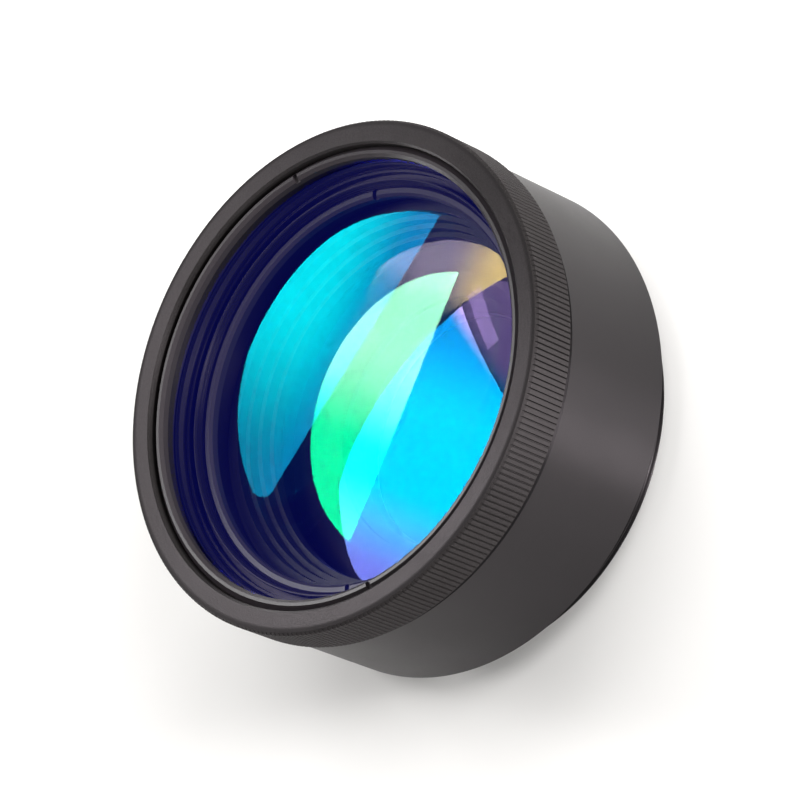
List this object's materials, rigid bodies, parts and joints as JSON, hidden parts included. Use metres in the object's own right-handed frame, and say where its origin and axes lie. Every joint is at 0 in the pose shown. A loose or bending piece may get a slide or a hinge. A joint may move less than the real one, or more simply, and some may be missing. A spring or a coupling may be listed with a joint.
{
  "type": "f theta scan lens",
  "caption": "Turned black lens barrel with a knurled window holder, coated window and inner lenses, and a rear mounting thread.",
  "frame": {"origin": "centre of the rear end of the mounting thread, which is the surface that the lens stands on", "axes": "+Z along the optical axis from the mounting thread to the window; +X is the zero of the turn of the spanner notches"},
  "size_m": [0.097, 0.097, 0.0455],
  "materials": {
    "body_anodised": "black anodised over a fine blasted surface, satin",
    "holder_anodised": "black anodised over a fine blasted surface, satin, with a straight knurl",
    "ring_anodised": "black anodised, turned",
    "inner_anodised": "matt black anodised",
    "window_glass": "polished, with a violet blue anti-reflection coating",
    "lens_glass": "polished, with a blue green laser coating",
    "seal_rubber": "matt black"
  },
  "bodies": {
    "root": {"barrel": "body_anodised", "window_holder": "holder_anodised", "window_retaining_ring": "ring_anodised", "window_glass": "window_glass", "window_seal_ring": "seal_rubber", "holder_seal_ring": "seal_rubber", "front_retaining_ring": "ring_anodised", "front_lens": "lens_glass", "front_spacer": "inner_anodised", "middle_lens": "lens_glass", "rear_lens": "lens_glass", "rear_retaining_ring": "ring_anodised"}
  },
  "joints": []
}
